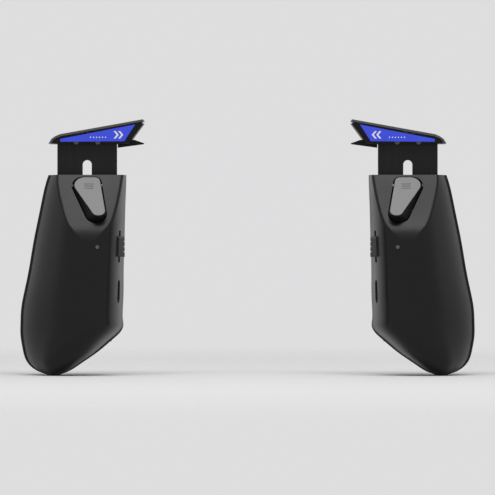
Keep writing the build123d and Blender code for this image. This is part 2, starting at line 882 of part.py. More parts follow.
def make_back_trigger():
    """The paddle: a wedge that stands proud of the slope, with hinge barrels behind it."""
    base = rounded_face(trigger_corners(trigger_base_shares), trigger_base_radii)
    points = trigger_corners(trigger_face_shares)
    head_v = points[0][1]
    foot_v = points[2][1]
    tilt = math.degrees(math.atan2(trigger_rise_foot - trigger_rise_top, head_v - foot_v))
    lean = math.cos(math.radians(tilt))
    tilted = [(x, (v - head_v) / lean) for x, v in points]
    face = rounded_face(tilted, trigger_face_radii)
    face = Pos(0, head_v, trigger_rise_top) * (Rot(-tilt, 0, 0) * face)
    wedge = loft([base, face], ruled=True)
    edges = wedge.faces().sort_by(Axis.Z)[-1].edges()
    wedge = fillet(edges, trigger_edge)
    root = extrude(Pos(0, 0, -trigger_skin) * base, amount=trigger_skin)
    paddle = slope_plane * (wedge + root)
    barrels = barrel_spans()
    for x0, x1 in barrels:
        paddle += rod_x(pin_y, pin_z, trigger_barrel_radius, x0, x1)
    stop_foot = -tongue_depth - stop_tongue
    paddle += slope_block(*stop_span(), stop_foot, -tongue_depth)
    stop_neck = slope_plane * extrude(Pos(0, 0, stop_foot) * base, amount=-stop_foot)
    paddle += stop_neck & slope_block(*stop_span(), stop_foot, 0)
    paddle += push_rib()
    start, end = pin_ends()
    return paddle - rod_x(pin_y, pin_z, pin_radius + pin_running_gap, start, end)


def barrel_spans():
    """The trigger's two hinge barrels along x."""
    x0 = trigger_left_x + barrel_inset_left
    x1 = trigger_left_x + trigger_width - barrel_inset_right
    return (x0, x0 + trigger_barrel_length), (x1 - trigger_barrel_length, x1)


def stop_span():
    """The stop tongue below the trigger's foot: x0, x1, v0, v1 on the slope."""
    foot_v = trigger_head_length - trigger_length
    x1 = trigger_left_x + trigger_width - stop_inset
    v0 = foot_v - trigger_gap - stop_tongue_reach
    v1 = foot_v + stop_root
    return x1 - stop_tongue_width, x1, v0, v1


def push_rib():
    """The rib behind the trigger that meets the push switch at the end of its travel."""
    stem_y = board_back_y - push_switch_height - push_stem_height
    dy = stem_y - pivot_floor_y
    dz = push_switch_z - pivot_z
    v = dy * slope_sine + dz * slope_cosine
    n = -dy * slope_cosine + dz * slope_sine
    travel = -v * math.sin(math.radians(trigger_press_angle))
    lean = push_stem_radius * math.tan(math.radians(scoop_angle - trigger_press_angle))
    end = n + travel + lean + push_free_gap
    half = push_rib_side / 2
    return slope_block(push_switch_x - half, push_switch_x + half, v - half, v + half, end, -trigger_skin)


def make_back_trigger_pin():
    """The steel pin that the back trigger turns on."""
    start, end = pin_ends()
    return rod_x(pin_y, pin_z, pin_radius, start, end)


def make_back_trigger_spring():
    """The torsion spring round the pin, drawn as a sleeve with its leg."""
    (_, x0), (x1, _) = barrel_spans()
    x0 += torsion_side_gap
    x1 -= torsion_side_gap
    spring = rod_x(pin_y, pin_z, torsion_radius, x0, x1)
    spring -= rod_x(pin_y, pin_z, torsion_bore_radius, x0, x1)
    leg_x = x0 + 2 * torsion_leg_radius
    leg_y = pin_y + (torsion_radius + torsion_bore_radius) / 2
    return spring + rod_z(leg_x, leg_y, torsion_leg_radius, pin_z - torsion_leg_length, pin_z)


def make_back_trigger_switch():
    """The push switch on the board under the trigger's foot."""
    half = push_switch_side / 2
    x = push_switch_x
    z = push_switch_z
    body_y = board_back_y - push_switch_height
    body = block(x - half, x + half, body_y, board_back_y, z - half, z + half)
    return body + rod_y(x, z, push_stem_radius, body_y - push_stem_height, body_y)


def make_screw(x, z, seat_y, towards, radius, length, head_radius, head_height):
    """A screw along y whose head stands on seat_y, on the side away from where it points."""
    tip = seat_y + towards * length
    head = seat_y - towards * head_height
    drive = head + towards * min(screw_drive_depth, head_height * screw_drive_depth_share)
    screw = rod_y(x, z, radius, min(seat_y, tip), max(seat_y, tip))
    screw += rod_y(x, z, head_radius, min(seat_y, head), max(seat_y, head))
    return screw - rod_y(x, z, radius * screw_drive_share, min(drive, head), max(drive, head))


def make_shell_screws():
    """Four screws from the front cover into the back shell."""
    screws = []
    for x, z in boss_places():
        screws.append(
            make_screw(
                x,
                z,
                shell_screw_seat_depth,
                -1,
                shell_screw_radius,
                shell_screw_length,
                shell_screw_head_radius,
                shell_screw_head_height,
            )
        )
    return screws


def make_guide_screws():
    """Three screws from the slide guide into the front cover."""
    screws = []
    for x, z in guide_screw_places():
        screws.append(
            make_screw(
                x,
                z,
                guide_back_y,
                1,
                guide_screw_radius,
                guide_screw_length,
                guide_screw_head_radius,
                guide_screw_head_height,
            )
        )
    return screws


def head_points(shares):
    """Points of the head in x and z from shares of its length and rise."""
    points = []
    for across, up in shares:
        points.append((-head_tip_x + across * head_length, jaw_z - head_skirt + up * head_rise))
    return points


def inset_corners(distance):
    """The corners round the head's tip, moved inwards by a distance."""
    corners = []
    for (x, z), (across, up) in zip(head_points(head_shares), skin_shares):
        corners.append((x + across * distance, z + up * distance))
    return corners


def slanted_x(z):
    """Where the head's slanted inner edge lies at a height."""
    (x0, z0), (x1, z1) = head_points(head_shares)[5:7]
    return x1 + (z - z1) * (x0 - x1) / (z0 - z1)


def housing_profile():
    """The outline of the head's housing, below the cap and its gap."""
    drop = cap_thickness + cap_gap
    points = head_points(head_shares)
    top_z = points[4][1] - drop - cap_tip_gap
    corners = inset_corners(drop) + [(slanted_x(top_z), top_z)] + points[6:]
    return make_face(Polyline(*corners, close=True))


def head_prism(profile, y0, y1):
    """A profile of the head drawn out from y0 to y1."""
    return extrude(Pos(0, y1, 0) * (Plane.XZ * profile), amount=y1 - y0)


def make_clamp_plate():
    """The flat plate that slides in the handle, with its slot and its tongue."""
    face = RectangleRounded(plate_width, jaw_z - plate_foot_z, post_radius)
    middle_z = (jaw_z + plate_foot_z) / 2
    face = Pos(plate_middle_x, middle_z) * face
    top = block_face(plate_width, jaw_z - slot_top_z, plate_middle_x, jaw_z - head_skirt)
    tongue = block_face(tongue_width, tongue_rise + slot_width, plate_middle_x, jaw_z + tongue_rise)
    face = face + top + tongue
    slot_height = slot_top_z - slot_foot_z
    face -= Pos(plate_middle_x, slot_foot_z + slot_height / 2) * capsule_face(slot_width, slot_height)
    over_z = jaw_z + cut_overrun
    above = block_face(plate_width + cut_overrun, head_skirt + cut_overrun, plate_middle_x, over_z)
    face -= above - block_face(tongue_width, head_rise + cut_overrun, plate_middle_x, over_z)
    plate = extrude(Pos(0, plate_front_y, 0) * (Plane.XZ * face), amount=plate_thickness)
    for x, z in plate_screw_places():
        plate -= rod_y(x, z, head_screw_radius, plate_back_y - cut_overrun, plate_front_y + cut_overrun)
    return plate


def block_face(width, height, middle_x, top):
    """A flat rectangle hung from its top edge."""
    return Pos(middle_x, top - height / 2) * Rectangle(width, height)


def plate_screw_places():
    """Centres of the screws under the badge that hold the plate's tongue."""
    half = plate_screw_spacing / 2
    z = jaw_z + plate_screw_rise
    return (plate_middle_x - half, z), (plate_middle_x + half, z)


def make_clamp_head():
    """The hollow housing behind and above the phone's upper edge."""
    head = head_prism(housing_profile(), -head_back_depth, phone_depth + lip_gap)
    slanted = head.edges().filter_by(Axis.Y).group_by(Axis.X)[-1]
    head = chamfer(slanted, head_bevel)
    far = head_length + cut_overrun
    low = jaw_z - cut_overrun
    high = jaw_z + head_rise + cut_overrun
    head += jaw_rib()
    head -= block(0, far, bed_front_y + seat_gap, phone_depth + cut_overrun, low, jaw_z + pad_thickness)
    floor_z = jaw_z + pad_thickness + head_floor
    tip_x = head_wall / 2
    low_x = slanted_x(floor_z) - head_slant_wall
    high_x = slanted_x(high) - head_slant_wall
    cavity_points = [(tip_x, floor_z), (low_x, floor_z), (high_x, high), (tip_x, high)]
    cavity_back = head_cavity_back_y()
    head -= plate_between(cavity_points, [0] * len(cavity_points), cavity_back, phone_depth + cut_overrun)
    y0 = plate_back_y - badge_gap
    y1 = plate_front_y + badge_gap
    half = tongue_width / 2 + badge_gap
    tongue_top = jaw_z + tongue_rise + badge_gap
    head -= block(plate_middle_x - half, plate_middle_x + half, y0, y1, low, tongue_top)
    lug = shoulder_lug_radius + seat_gap
    pin_x = -shoulder_pin_x
    lug_y0, lug_y1 = lug_span()
    head -= block(pin_x - lug - head_tip_x, head_wall, lug_y0 - seat_gap, lug_y1 + seat_gap, low, high)
    pin_z0 = jaw_z + shoulder_pin_rise
    head -= rod_y(pin_x, pin_z0, shoulder_pin_radius, -head_back_depth + head_wall, phone_depth + lip_gap)
    for x, z in head_points(lip_screw_shares):
        head += rod_y(x, z, head_boss_radius, cavity_back - head_wall / 2, phone_depth + lip_gap)
        tip = phone_depth + lip_gap - head_screw_length
        head -= rod_y(x, z, head_screw_radius, tip, phone_depth + cut_overrun)
    rim_y0, rim_y1 = cap_rim_span()
    rim_y0 -= cap_rim_gap
    rim_y1 += cap_rim_gap
    rim_foot = cap_under_z(low_x) - cap_rim_drop - press_drop(low_x) - cap_rim_gap
    head -= block(low_x, far, rim_y0, rim_y1, rim_foot, high)
    head -= badge_prism(badge_gap, -head_back_depth - cut_overrun, -head_back_depth + badge_depth)
    seat = plate_screw_seat_y()
    for x, z in plate_screw_places():
        head -= rod_y(x, z, head_screw_head_radius, -head_back_depth, seat)
        head -= rod_y(x, z, head_screw_radius, seat, plate_back_y)
    return head


def head_cavity_back_y():
    """The back of the hollow in the head."""
    return -head_back_depth + head_wall + badge_depth - badge_proud


def cap_rim_span():
    """The depth that the cap's rim takes, close behind the head's back wall."""
    y0 = head_cavity_back_y() + cap_rim_gap
    return y0, y0 + cap_rim_thickness


def cap_rim_points():
    """The outline of the rim that hangs from the cap and keeps light out of its gap."""
    x0 = cap_rim_start_x
    x1 = head_points(head_shares)[4][0] - head_skirt
    top0 = cap_under_z(x0) + cap_thickness / 2
    top1 = cap_under_z(x1) + cap_thickness / 2
    foot0 = cap_under_z(x0) - cap_rim_drop
    foot1 = cap_under_z(x1) - cap_rim_drop
    return [(x0, top0), (x1, top1), (slanted_x(foot1) - cap_rim_gap, foot1), (x0, foot0)]


def plate_screw_seat_y():
    """The seat of the plate screws' heads, under the badge."""
    return -head_back_depth + badge_depth + head_screw_head_height


def jaw_rib():
    """The tapered rib under the head, behind the phone's upper edge."""
    x0 = plate_right_x + running_gap
    z1 = jaw_z + head_wall
    z0 = jaw_z - head_skirt - jaw_rib_height
    tip = x0 + jaw_rib_length
    points = [(x0, z0), (tip, jaw_z - head_skirt * 2), (tip, jaw_z), (tip - head_tip_x, z1), (x0, z1)]
    y1 = bed_front_y / 2
    return plate_between(points, [0] * len(points), y1 - jaw_rib_thickness, y1)


def lug_span():
    """The hinge lug's width along y, in the middle of the head's depth."""
    middle = (phone_depth + lip_gap - head_back_depth) / 2
    return middle - shoulder_lug_width / 2, middle + shoulder_lug_width / 2


def badge_prism(growth, y0, y1):
    """The badge's outline, grown a little for its recess, from y0 to y1."""
    face = make_face(Polyline(*head_points(badge_shares), close=True))
    if growth > 0:
        face = offset(face, amount=growth, kind=Kind.INTERSECTION)
    return head_prism(face, y0, y1)


def make_badge():
    """The coloured insert on the back of the head."""
    return badge_prism(0, -head_back_depth - badge_proud, -head_back_depth + badge_depth)


def make_jaw_pad():
    """The rubber strip over the phone's upper edge."""
    x0 = pad_corner / 2
    x1 = head_points(head_shares)[-1][0] - pad_corner / 2
    return block(x0, x1, 0, phone_depth, jaw_z, jaw_z + pad_thickness)


def arm_middles():
    """The two touch arms' centres in x."""
    return arm_first_x, arm_first_x + arm_spacing


def make_screen_lip():
    """The front plate of the head, with two touch arms over the screen."""
    y0 = phone_depth + lip_gap
    y1 = y0 + lip_plate_thickness
    lip = head_prism(housing_profile(), y0, y1)
    web_top = jaw_z + pad_thickness
    first, second = arm_middles()
    half = arm_width / 2
    web_points = [
        (first - half, web_top),
        (second + half, web_top),
        (second + half, jaw_z - arm_web),
        (first - half, jaw_z - arm_web),
    ]
    lip += plate_between(web_points, [0] * len(web_points), y0, y1)
    arm_height = arm_length + web_top - jaw_z
    for x in arm_middles():
        face = Pos(x, web_top - arm_height / 2) * capsule_face(arm_width, arm_height)
        upper = block_face(arm_width, arm_height / 2, x, web_top)
        lip += extrude(Pos(0, y1, 0) * (Plane.XZ * (face + upper)), amount=lip_plate_thickness)
    seat = y1 - head_screw_head_height
    for x, z in head_points(lip_screw_shares):
        lip -= rod_y(x, z, head_screw_radius, y0 - cut_overrun, y1)
        lip -= rod_y(x, z, head_screw_head_radius, seat, y1 + cut_overrun)
    return lip


def make_touch_pads():
    """Two conductive pads behind the tips of the touch arms."""
    y1 = phone_depth + lip_gap
    z = jaw_z - arm_length + arm_width / 2
    return [rod_y(x, z, touch_pad_radius, y1 - touch_pad_thickness, y1) for x in arm_middles()]


def make_shoulder_trigger():
    """The cap along the top of the head, with its hinge lug and its push rib."""
    front = phone_depth + lip_gap + lip_plate_thickness
    outline = head_points(head_shares)[:5]
    x, z = outline[-1]
    end_step = cap_thickness * cap_end_share
    outline.append((x + end_step, z - end_step))
    outline.append((x, z - cap_thickness))
    outline.extend(reversed(inset_corners(cap_thickness)))
    cap = head_prism(make_face(Polyline(*outline, close=True)), -head_back_depth, front)
    pin_x = -shoulder_pin_x
    pin_z0 = jaw_z + shoulder_pin_rise
    lug_y0, lug_y1 = lug_span()
    roof = cap_under_z(pin_x)
    lug = block(pin_x - shoulder_lug_radius, pin_x + shoulder_lug_radius, lug_y0, lug_y1, pin_z0, roof)
    cap += lug + rod_y(pin_x, pin_z0, shoulder_lug_radius, lug_y0, lug_y1)
    x = shoulder_switch_x
    half = cap_rib_side / 2
    stem_top = shoulder_stem_top_z()
    rib_z0 = stem_top + press_drop(x + half) + shoulder_free_gap
    y = shoulder_switch_y()
    wide = cap_rib_width / 2
    cap += block(x - half, x + half, y - wide, y + wide, rib_z0, cap_under_z(x - half) + cap_thickness / 2)
    rim = cap_rim_points()
    cap += plate_between(rim, [0] * len(rim), *cap_rim_span())
    bore = shoulder_pin_radius + pin_running_gap
    return cap - rod_y(pin_x, pin_z0, bore, lug_y0 - cut_overrun, lug_y1 + cut_overrun)


def press_drop(x):
    """How far the cap sinks at a place along the head when it is pressed."""
    return (x + shoulder_pin_x) * math.tan(math.radians(cap_press_angle))


def cap_under_z(x):
    """The underside of the cap at a place along the head."""
    points = head_points(head_shares)
    xs = [p[0] for p in points[:5]]
    zs = [p[1] for p in points[:5]]
    return share_at(x, xs, zs) - cap_thickness


def shoulder_switch_y():
    """The middle of the head's board along y."""
    return phone_depth + lip_gap - head_board_front_gap - head_board_depth / 2


def head_board_z():
    """The lower face of the head's board, on the head's floor."""
    return jaw_z + pad_thickness + head_floor


def shoulder_stem_top_z():
    """The top of the shoulder switch's stem."""
    return head_board_z() + head_board_thickness + shoulder_switch_height + shoulder_stem_height


def make_shoulder_pin():
    """The pin that the shoulder trigger turns on."""
    z = jaw_z + shoulder_pin_rise
    y0 = -head_back_depth + head_wall
    return rod_y(-shoulder_pin_x, z, shoulder_pin_radius, y0, phone_depth + lip_gap)


def make_head_board():
    """The small circuit board in the head."""
    y1 = phone_depth + lip_gap - head_board_front_gap
    y0 = y1 - head_board_depth
    z0 = head_board_z()
    return block(head_board_left_x, head_board_right_x, y0, y1, z0, z0 + head_board_thickness)


def make_shoulder_switch():
    """The push switch under the shoulder trigger."""
    half = shoulder_switch_side / 2
    x = shoulder_switch_x
    y = shoulder_switch_y()
    z0 = head_board_z() + head_board_thickness
    z1 = z0 + shoulder_switch_height
    body = block(x - half, x + half, y - half, y + half, z0, z1)
    return body + rod_z(x, y, shoulder_stem_radius, z1, z1 + shoulder_stem_height)


def make_head_screws():
    """Two screws through the screen lip and two through the plate's tongue."""
    screws = []
    lip_seat = phone_depth + lip_gap + lip_plate_thickness - head_screw_head_height
    head = (head_screw_head_radius, head_screw_head_height)
    for x, z in head_points(lip_screw_shares):
        screws.append(make_screw(x, z, lip_seat, -1, head_screw_radius, head_screw_length, *head))
    seat = plate_screw_seat_y()
    length = plate_front_y - seat
    for x, z in plate_screw_places():
        screws.append(make_screw(x, z, seat, 1, head_screw_radius, length, *head))
    return screws


makers = {
    "back_shell": make_back_shell,
    "front_cover": make_front_cover,
    "bed_pad": make_bed_pad,
    "ledge_pad": make_ledge_pad,
    "slide_guide": make_slide_guide,
    "stop_post": make_stop_post,
    "clamp_springs": make_clamp_springs,
    "main_board": make_main_board,
    "battery": make_battery,
    "charging_socket": make_charging_socket,
    "mode_switch": make_mode_switch,
    "mode_knob": make_mode_knob,
    "indicator_lens": make_indicator_lens,
    "back_trigger": make_back_trigger,
    "back_trigger_pin": make_back_trigger_pin,
    "back_trigger_spring": make_back_trigger_spring,
    "back_trigger_switch": make_back_trigger_switch,
    "shell_screws": make_shell_screws,
    "guide_screws": make_guide_screws,
    "clamp_plate": make_clamp_plate,
    "clamp_head": make_clamp_head,
    "screen_lip": make_screen_lip,
    "badge": make_badge,
    "jaw_pad": make_jaw_pad,
    "touch_pads": make_touch_pads,
    "shoulder_trigger": make_shoulder_trigger,
    "shoulder_pin": make_shoulder_pin,
    "shoulder_switch": make_shoulder_switch,
    "head_board": make_head_board,
    "head_screws": make_head_screws,
}

# The grip in the right hand lies towards -X, because its back is seen; the other is its mirror
place = Pos(-phone_length / 2, frame_shift_y, 0)
for name, make in makers.items():
    made = make()
    solids = []
    for shape in made if isinstance(made, list) else [made]:
        solids.extend((place * shape).solids())
    export_step(Compound(children=solids), f"parts/right_hand_{name}.step")
    mirrored = [mirror(solid, about=Plane.YZ) for solid in solids]
    export_step(Compound(children=mirrored), f"parts/left_hand_{name}.step")
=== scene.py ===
import json
import math

import bmesh
import bpy
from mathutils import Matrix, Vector


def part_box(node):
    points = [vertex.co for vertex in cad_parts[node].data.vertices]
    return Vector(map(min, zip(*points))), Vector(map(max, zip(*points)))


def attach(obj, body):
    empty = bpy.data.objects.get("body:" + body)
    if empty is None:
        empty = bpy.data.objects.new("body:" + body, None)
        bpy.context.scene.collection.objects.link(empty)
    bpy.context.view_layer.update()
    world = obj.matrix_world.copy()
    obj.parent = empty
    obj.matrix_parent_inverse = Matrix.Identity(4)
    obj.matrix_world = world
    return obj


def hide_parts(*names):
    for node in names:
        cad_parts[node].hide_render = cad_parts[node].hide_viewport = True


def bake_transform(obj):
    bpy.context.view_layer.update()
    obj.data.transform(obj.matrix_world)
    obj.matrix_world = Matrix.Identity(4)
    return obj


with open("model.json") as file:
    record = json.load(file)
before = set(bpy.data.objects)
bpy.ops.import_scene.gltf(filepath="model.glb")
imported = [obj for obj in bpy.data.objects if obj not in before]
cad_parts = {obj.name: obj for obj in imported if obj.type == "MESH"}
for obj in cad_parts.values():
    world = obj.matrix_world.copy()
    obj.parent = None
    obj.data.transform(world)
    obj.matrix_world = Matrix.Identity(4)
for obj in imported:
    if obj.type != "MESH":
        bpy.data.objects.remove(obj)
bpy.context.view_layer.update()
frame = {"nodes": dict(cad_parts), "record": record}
nodes = frame["nodes"]

# A pair of clip-on grips for a phone held on its side, seen from their backs.
# Lengths are in metres. +X runs along the phone, the backs face -Y, +Z is up.

MICRON = 0.000001

# The photograph's frame
FIELD_WIDTH = 0.2064
VIEW_HEIGHT = 0.0533
CAMERA_DISTANCE = 2.0
CAMERA_NEAR = 0.05
SENSOR_WIDTH = 36.0

# The two grips: the start of their names and the sign of their x
SIDES = (("right_hand", -1), ("left_hand", 1))

# Plain studio colours
FLOOR_COLOUR = (0.76, 0.76, 0.77, 1)
BACKDROP_COLOUR = (0.73, 0.73, 0.74, 1)
AMBIENT_COLOUR = (1, 1, 1, 1)
AMBIENT_STRENGTH = 0.45
FLOOR_SIZE = 6.0
FLOOR_ROUGHNESS = 0.85
FLOOR_SPECULAR = 0.1
FADE_START = 0.13
FADE_END = 0.6

# Softboxes: place, width, height, watts
SOFTBOXES = (
    ((0, -0.4, 1.05), 1.1, 0.5, 8.0),
    ((0, 1.3, 0.75), 1.2, 0.6, 1.2),
)

# Chevrons printed on the badge. They are set in from its inner end and up from its foot
CHEVRON_COUNT = 2
CHEVRON_HEIGHT = 0.0031
CHEVRON_STROKE = 0.00085
CHEVRON_POINT = 0.0013
CHEVRON_PITCH = 0.0019
CHEVRON_INSET = 0.00628
CHEVRON_RISE = 0.002893

# Row of dots printed beside the chevrons, level with their foot
DOT_COUNT = 6
DOT_SIZE = 0.00052
DOT_PITCH = 0.00125
DOT_INSET = 0.01238

# How far the print stands out of the badge, and reaches into it
PRINT_PROUD = 40 * MICRON
PRINT_SUNK = 30 * MICRON

# The back trigger's face: the slope of the scoop that it lies in, and its own lean there
SCOOP_SLOPE = math.radians(31.0)
TRIGGER_LEAN = math.radians(9.4)
TRIGGER_TILT = SCOOP_SLOPE + TRIGGER_LEAN
TRIGGER_NORMAL = Vector((0, -math.cos(TRIGGER_TILT), math.sin(TRIGGER_TILT)))
TRIGGER_UPWARD = Vector((0, math.sin(TRIGGER_TILT), math.cos(TRIGGER_TILT)))

# Tactile bars moulded on that face. They are set out from its middle and down from its top
BAR_COUNT = 3
BAR_LENGTH = 0.0036
BAR_WIDTH = 0.0005
BAR_PITCH = 0.00115
BAR_PROUD = 160 * MICRON
BAR_OUTSET = 0.000205
BAR_DROP = 0.003566

# Wire coils of the clamp springs
SPRING_TURNS = 15
SPRING_WIRE = 0.0003
SPRING_STEPS = 16
WIRE_SIDES = 8

# Rubber pads and their ribs
PAD_CORNER = 0.002
PAD_CORNER_MOST_SHARE = 0.25
RIB_PITCH = 0.0024
RIB_WIDTH = 0.0015
RIB_ROUND_SHARE = 0.45
RIB_RISE = 0.0003
RIB_MARGIN = 0.0011
RIB_BEVEL = 120 * MICRON
RIB_LEAST_COUNT = 2

# Each pad: node, body, and the axes that run across it, along it and out of it, with the way out
PADS = (
    ("bed_pad", "handle", (0, 2, 1, 1)),
    ("ledge_pad", "handle", (0, 1, 2, 1)),
    ("jaw_pad", "clamp", (0, 1, 2, -1)),
)

# Grain of the finishes, in cells to the metre
HANDLED_PATCHES = 38
SPARK_PORES = 5200
MOULD_FLOW = 420
TRIGGER_FLOW = 500
PLATE_RUBS = 900
PLATE_GRAIN = 3200
BADGE_FLECKS = 9000
BADGE_CLOUDS = 160
RUBBER_GRAIN = 2600
RUBBER_DUST = 120
SILICONE_GRAINS = 7000
STEEL_SCRATCHES = 2400
STEEL_TINT = 300
SCREW_WEAR = 1500
SOCKET_BRUSHING = 1800
BOARD_PADS = 420
POUCH_WRINKLES = 240
LENS_MILK = 1200
PRINT_SPECKLES = 5200

# Lines of the finishes: pitch of a spring's turns, and of a board's traces with their slope
TURN_PITCH = 600 * MICRON
TRACE_PITCH = 1100 * MICRON
TRACE_WIDTH = 200 * MICRON
TRACE_SLOPE = 0.35

# Stretch of a grain that runs along one axis, or mostly so
ALONG_X = (0.1, 1, 1)
ALONG_Y = (1, 0.05, 1)
ALONG_Z = (1, 1, 0.02)

# Middle values of the patches and pores, and how much each changes the gloss
PATCH_MIDDLE = 0.5
PORE_MIDDLE = 0.4
PATCH_GLOSS = 0.07
PORE_GLOSS = 0.05

# A plain grey is a little cooler than neutral, and a moulded skin varies between two shades of it
BLUE_OF_GREY = 1.02
DARK_SHADE = 0.86
LIGHT_SHADE = 1.16


# Shader tools


class Value:
    """A socket whose arithmetic adds Math nodes to its material."""

    def __init__(self, finish, socket):
        self.finish = finish
        self.socket = socket

    def _math(self, operation, first, second):
        node = self.finish.add("ShaderNodeMath", {"operation": operation}, {0: first, 1: second})
        return Value(self.finish, node.outputs[0])

    def __add__(self, other):
        return self._math("ADD", self, other)

    __radd__ = __add__

    def __mul__(self, other):
        return self._math("MULTIPLY", self, other)

    __rmul__ = __mul__

    def __sub__(self, other):
        return self._math("SUBTRACT", self, other)

    def __rsub__(self, other):
        return self._math("SUBTRACT", other, self)

    def __truediv__(self, other):
        return self._math("DIVIDE", self, other)

    def __pow__(self, other):
        return self._math("POWER", self, other)

    def larger(self, other):
        return self._math("MAXIMUM", self, other)

    def repeat(self, pitch):
        """Distance from the nearest multiple of pitch."""
        return self._math("PINGPONG", self, pitch / 2)

    def step(self, low, high):
        """0 below low, 1 above high, smooth between."""
        node = self.finish.add(
            "ShaderNodeMapRange",
            {"interpolation_type": "SMOOTHSTEP"},
            {"Value": self, "From Min": low, "From Max": high, "To Min": 0.0, "To Max": 1.0},
        )
        return Value(self.finish, node.outputs[0])


class Finish:
    """A material, or the studio's world, under construction."""

    def __init__(self, name, owners=bpy.data.materials):
        self.block = owners.new(name)
        self.block.use_nodes = True
        self.tree = self.block.node_tree
        self.tree.nodes.clear()
        self.place = self.add("ShaderNodeTexCoord")

    def add(self, kind, settings=None, inputs=None):
        """A node of that kind, with its settings first and then the values or links of its sockets."""
        node = self.tree.nodes.new(kind)
        for key, value in (settings or {}).items():
            setattr(node, key, value)
        for key, value in (inputs or {}).items():
            socket = node.inputs[key]
            if isinstance(value, Value):
                self.tree.links.new(value.socket, socket)
            elif isinstance(value, bpy.types.NodeSocket):
                self.tree.links.new(value, socket)
            else:
                socket.default_value = value
        return node

    def value(self, socket):
        return Value(self, socket)

    def axes(self):
        """The object's own x, y and z at the shaded point."""
        split = self.add("ShaderNodeSeparateXYZ", None, {0: self.place.outputs["Object"]})
        return tuple(self.value(split.outputs[i]) for i in range(3))

    def noise(self, scale, detail=2.0, roughness=0.5, stretch=(1, 1, 1)):
        """Noise of that many cells to the metre."""
        where = self.add(
            "ShaderNodeMapping", None, {"Vector": self.place.outputs["Object"], "Scale": stretch}
        )
        node = self.add(
            "ShaderNodeTexNoise",
            None,
            {"Vector": where.outputs[0], "Scale": scale, "Detail": detail, "Roughness": roughness},
        )
        return self.value(node.outputs[0])

    def cells(self, scale):
        """Distance from the nearest cell centre, of that many cells to the metre."""
        node = self.add(
            "ShaderNodeTexVoronoi", None, {"Vector": self.place.outputs["Object"], "Scale": scale}
        )
        return self.value(node.outputs["Distance"])

    def facing(self, direction):
        """How much the surface faces a direction: 1 straight at it, 0 side on."""
        node = self.add(
            "ShaderNodeVectorMath",
            {"operation": "DOT_PRODUCT"},
            {0: self.place.outputs["Normal"], 1: Vector(direction).normalized()},
        )
        return self.value(node.outputs["Value"])

    def mix(self, factor, first, second):
        """A colour between two, by factor."""
        node = self.add("ShaderNodeMix", {"data_type": "RGBA"}, {0: factor, 6: first, 7: second})
        return node.outputs[2]

    def bump(self, height, strength, distance):
        """Small relief on the surface."""
        inputs = {"Height": height, "Strength": strength, "Distance": distance}
        return self.add("ShaderNodeBump", None, inputs).outputs[0]

    def close(self, **inputs):
        """Ends the material in one Principled shader."""
        shader = self.add(
            "ShaderNodeBsdfPrincipled",
            None,
            {key.replace("_", " "): value for key, value in inputs.items()},
        )
        self.add("ShaderNodeOutputMaterial", None, {"Surface": shader.outputs[0]})
        return self.block


def grey(level):
    return (level, level, level * BLUE_OF_GREY, 1)


# Finishes


def moulded_plastic(name, level, roughness, specular=0.5, grain=1.0):
    """Fine spark-eroded texture with slow changes of gloss, as on a moulded shell."""
    finish = Finish(name)
    handled = finish.noise(HANDLED_PATCHES, detail=3.0, roughness=0.6).step(0.35, 0.7)
    pores = finish.cells(SPARK_PORES)
    flow = finish.noise(MOULD_FLOW, detail=3.0, roughness=0.55)
    gloss = (handled - PATCH_MIDDLE) * PATCH_GLOSS + (pores - PORE_MIDDLE) * PORE_GLOSS
    return finish.close(
        Base_Color=finish.mix(flow, grey(level * DARK_SHADE), grey(level * LIGHT_SHADE)),
        Roughness=roughness + gloss,
        Specular_IOR_Level=specular,
        Normal=finish.bump(pores * 0.6 + flow * 0.4, strength=0.16 * grain, distance=60 * MICRON),
    )


def shell_finish():
    return moulded_plastic("grip_shell_plastic", level=0.005, roughness=0.3, specular=0.24)


def head_finish():
    return moulded_plastic(
        "clamp_head_plastic", level=0.005, roughness=0.42, specular=0.16, grain=0.8
    )


def cap_finish():
    return moulded_plastic(
        "shoulder_cap_plastic", level=0.085, roughness=0.38, specular=0.3, grain=0.8
    )


def switch_finish():
    return moulded_plastic("switch_body_plastic", level=0.03, roughness=0.5, grain=0.6)


def guide_finish():
    return moulded_plastic("slide_guide_plastic", level=0.08, roughness=0.46, grain=0.8)


def knob_finish():
    return moulded_plastic("mode_knob_plastic", level=0.05, roughness=0.42, grain=0.8)


def plate_finish():
    """Flat satin slider with fine lengthwise rub marks from the guide."""
    finish = Finish("slider_plate_plastic")
    rubs = finish.noise(PLATE_RUBS, roughness=0.6, stretch=ALONG_Z)
    grain = finish.noise(PLATE_GRAIN)
    return finish.close(
        Base_Color=finish.mix(rubs.step(0.45, 0.8), grey(0.007), grey(0.011)),
        Roughness=0.44 - rubs.step(0.5, 0.75) * 0.08,
        Specular_IOR_Level=0.22,
        Normal=finish.bump(rubs * 0.3 + grain * 0.7, strength=0.12, distance=40 * MICRON),
    )


def trigger_painted_highlight_finish():
    """Near-black plastic with a painted highlight: its pressed face, which turns up to the top light,
    is painted a lighter grey than its skirt.
    """
    finish = Finish("back_trigger_painted_highlight")
    # Mask of the face that turns up to the top light, where the highlight is painted
    face = finish.facing(TRIGGER_NORMAL).step(0.93, 0.975)
    flow = finish.noise(TRIGGER_FLOW, detail=3.0, roughness=0.55)
    pores = finish.cells(SPARK_PORES)
    # Lighter grey painted on that face stands in for the top light falling on it: a painted highlight
    light = finish.mix(flow, grey(0.215), grey(0.245))
    return finish.close(
        Base_Color=finish.mix(face, grey(0.005), light),
        Roughness=0.36 + face * 0.04 + (pores - PORE_MIDDLE) * PORE_GLOSS,
        Specular_IOR_Level=0.25,
        Normal=finish.bump(pores * 0.6 + flow * 0.4, strength=0.12, distance=50 * MICRON),
    )


